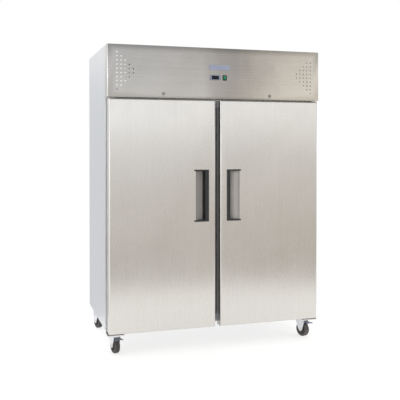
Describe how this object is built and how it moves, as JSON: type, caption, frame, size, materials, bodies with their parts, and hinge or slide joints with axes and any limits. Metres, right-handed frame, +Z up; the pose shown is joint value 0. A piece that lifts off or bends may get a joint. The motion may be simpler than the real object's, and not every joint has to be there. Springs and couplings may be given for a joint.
{
  "type": "reach-in refrigerator",
  "caption": "Upright commercial reach-in refrigerator with solid swing doors, inset handles, wire shelves, a top cooling unit and braked castors.",
  "frame": {"origin": "on the floor under the centre of the refrigerator's box", "axes": "+Z up, the doors face -Y, +X to the right as seen from the front"},
  "size_m": [1.48, 0.84, 2.01],
  "materials": {
    "cabinet_steel": "brushed",
    "door_steel": "brushed",
    "inner_steel": "brushed",
    "galvanised": "matte",
    "foam": "matte",
    "aluminium_fins": "satin",
    "white_plastic": "satin",
    "lamp": "gloss",
    "machine_black": "satin",
    "copper": "satin",
    "seal_grey": "matte",
    "handle_black": "satin",
    "hinge_dark": "satin",
    "badge": "gloss",
    "controller_grey": "satin",
    "display_black": "gloss",
    "rocker_green": "gloss",
    "black_plastic": "satin",
    "chrome_wire": "polished",
    "zinc": "satin",
    "wheel_grey": "matte",
    "pedal_grey": "satin"
  },
  "bodies": {
    "cabinet": {"left_side_panel": "cabinet_steel", "right_side_panel": "cabinet_steel", "back_panel": "galvanised", "machine_deck": "galvanised", "base_pan": "galvanised", "cabinet_foam": "foam", "inner_liner": "inner_steel", "front_frame": "cabinet_steel", "centre_mullion": "cabinet_steel", "shelf_uprights": "inner_steel", "shelf_runners": "inner_steel", "wire_shelves": "chrome_wire", "evaporator_coil": "aluminium_fins", "evaporator_cover": "white_plastic", "fan_motors": "machine_black", "condensate_drain": "white_plastic", "interior_lamp": "lamp", "compressor": "machine_black", "condenser_coil": "aluminium_fins", "fan_shroud": "galvanised", "refrigerant_tubes": "copper", "control_box": "white_plastic", "cable_gland": "black_plastic", "castor_plates": "zinc", "hinge_brackets": "hinge_dark"},
    "left_door": {"left_door_skin": "door_steel", "left_door_foam": "foam", "left_door_liner": "inner_steel", "left_door_gasket": "seal_grey", "left_handle": "handle_black", "left_handle_pocket": "door_steel"},
    "right_door": {"right_door_skin": "door_steel", "right_door_foam": "foam", "right_door_liner": "inner_steel", "right_door_gasket": "seal_grey", "right_handle": "handle_black", "right_handle_pocket": "door_steel"},
    "header_panel": {"fascia_panel": "cabinet_steel", "name_badge": "badge", "controller_case": "controller_grey", "controller_display": "display_black", "switch_bezel": "black_plastic"},
    "left_key_body": {"left_key": "controller_grey"},
    "right_key_body": {"right_key": "controller_grey"},
    "power_rocker_body": {"power_rocker": "rocker_green"},
    "left_lock_body": {"left_lock": "zinc"},
    "right_lock_body": {"right_lock": "zinc"},
    "condenser_fan_body": {"condenser_fan": "black_plastic"},
    "evaporator_fan_left_body": {"evaporator_fan_left": "black_plastic"},
    "evaporator_fan_right_body": {"evaporator_fan_right": "black_plastic"},
    "castor_front_left": {"castor_fork_front_left": "zinc"},
    "wheel_front_left": {"castor_wheel_front_left": "wheel_grey"},
    "castor_front_right": {"castor_fork_front_right": "zinc"},
    "wheel_front_right": {"castor_wheel_front_right": "wheel_grey"},
    "castor_rear_left": {"castor_fork_rear_left": "zinc"},
    "wheel_rear_left": {"castor_wheel_rear_left": "wheel_grey"},
    "castor_rear_right": {"castor_fork_rear_right": "zinc"},
    "wheel_rear_right": {"castor_wheel_rear_right": "wheel_grey"},
    "pedal_left": {"brake_pedal_left": "pedal_grey"},
    "pedal_right": {"brake_pedal_right": "pedal_grey"}
  },
  "joints": [
    {"name": "left_door_hinge", "type": "hinge", "parent": "cabinet", "child": "left_door", "pos_m": [-0.707, -0.385, 0.9], "axis": [0, 0, -1], "range_deg": [0, 110], "stiffness_Nm_per_rad": 2.5, "springref_deg": -34.38},
    {"name": "right_door_hinge", "type": "hinge", "parent": "cabinet", "child": "right_door", "pos_m": [0.707, -0.385, 0.9], "axis": [0, 0, 1], "range_deg": [0, 110], "stiffness_Nm_per_rad": 2.5, "springref_deg": -34.38},
    {"name": "header_panel_hinge", "type": "hinge", "parent": "cabinet", "child": "header_panel", "pos_m": [0, -0.338, 2], "axis": [-1, 0, 0], "range_deg": [0, 60]},
    {"name": "left_key_rock", "type": "hinge", "parent": "header_panel", "child": "left_key_body", "pos_m": [-0.049, -0.416, 1.814], "axis": [1, 0, 0], "range_deg": [-2.5, 2.5], "stiffness_Nm_per_rad": 0.02},
    {"name": "right_key_rock", "type": "hinge", "parent": "header_panel", "child": "right_key_body", "pos_m": [0.011, -0.416, 1.814], "axis": [1, 0, 0], "range_deg": [-2.5, 2.5], "stiffness_Nm_per_rad": 0.02},
    {"name": "power_rocker_tilt", "type": "hinge", "parent": "header_panel", "child": "power_rocker_body", "pos_m": [0.0475, -0.41, 1.814], "axis": [1, 0, 0], "range_deg": [0, 16]},
    {"name": "left_lock_turn", "type": "hinge", "parent": "header_panel", "child": "left_lock_body", "pos_m": [-0.371, -0.4, 1.699], "axis": [0, -1, 0], "range_deg": [0, 90]},
    {"name": "right_lock_turn", "type": "hinge", "parent": "header_panel", "child": "right_lock_body", "pos_m": [0.371, -0.4, 1.699], "axis": [0, 1, 0], "range_deg": [0, 90]},
    {"name": "condenser_fan_spin", "type": "hinge", "parent": "cabinet", "child": "condenser_fan_body", "pos_m": [-0.38, -0.134, 1.827], "axis": [0, 1, 0], "continuous": true},
    {"name": "evaporator_fan_left_spin", "type": "hinge", "parent": "cabinet", "child": "evaporator_fan_left_body", "pos_m": [-0.215, -0.042, 1.546], "axis": [0, 1, 0], "continuous": true},
    {"name": "evaporator_fan_right_spin", "type": "hinge", "parent": "cabinet", "child": "evaporator_fan_right_body", "pos_m": [0.215, -0.042, 1.546], "axis": [0, 1, 0], "continuous": true},
    {"name": "swivel_front_left", "type": "hinge", "parent": "cabinet", "child": "castor_front_left", "pos_m": [-0.674, -0.247, 0.12], "axis": [0, 0, 1], "continuous": true},
    {"name": "roll_front_left", "type": "hinge", "parent": "castor_front_left", "child": "wheel_front_left", "pos_m": [-0.66693, -0.28026, 0.05], "axis": [0.9781, 0.2079, 0], "continuous": true},
    {"name": "swivel_front_right", "type": "hinge", "parent": "cabinet", "child": "castor_front_right", "pos_m": [0.674, -0.247, 0.12], "axis": [0, 0, 1], "continuous": true},
    {"name": "roll_front_right", "type": "hinge", "parent": "castor_front_right", "child": "wheel_front_right", "pos_m": [0.68619, -0.27874, 0.05], "axis": [0.9336, 0.3584, 0], "continuous": true},
    {"name": "swivel_rear_left", "type": "hinge", "parent": "cabinet", "child": "castor_rear_left", "pos_m": [-0.674, 0.328, 0.12], "axis": [0, 0, 1], "continuous": true},
    {"name": "roll_rear_left", "type": "hinge", "parent": "castor_rear_left", "child": "wheel_rear_left", "pos_m": [-0.68337, 0.36068, 0.05], "axis": [-0.9613, -0.2756, 0], "continuous": true},
    {"name": "swivel_rear_right", "type": "hinge", "parent": "cabinet", "child": "castor_rear_right", "pos_m": [0.674, 0.328, 0.12], "axis": [0, 0, 1], "continuous": true},
    {"name": "roll_rear_right", "type": "hinge", "parent": "castor_rear_right", "child": "wheel_rear_right", "pos_m": [0.68107, 0.36126, 0.05], "axis": [-0.9781, 0.2079, 0], "continuous": true},
    {"name": "pedal_left_lift", "type": "hinge", "parent": "castor_front_left", "child": "pedal_left", "pos_m": [-0.66153, -0.30569, 0.104], "axis": [-0.9781, -0.2079, 0], "range_deg": [0, 15]},
    {"name": "pedal_right_lift", "type": "hinge", "parent": "castor_front_right", "child": "pedal_right", "pos_m": [0.6955, -0.30301, 0.104], "axis": [-0.9336, -0.3584, 0], "range_deg": [0, 15]}
  ]
}
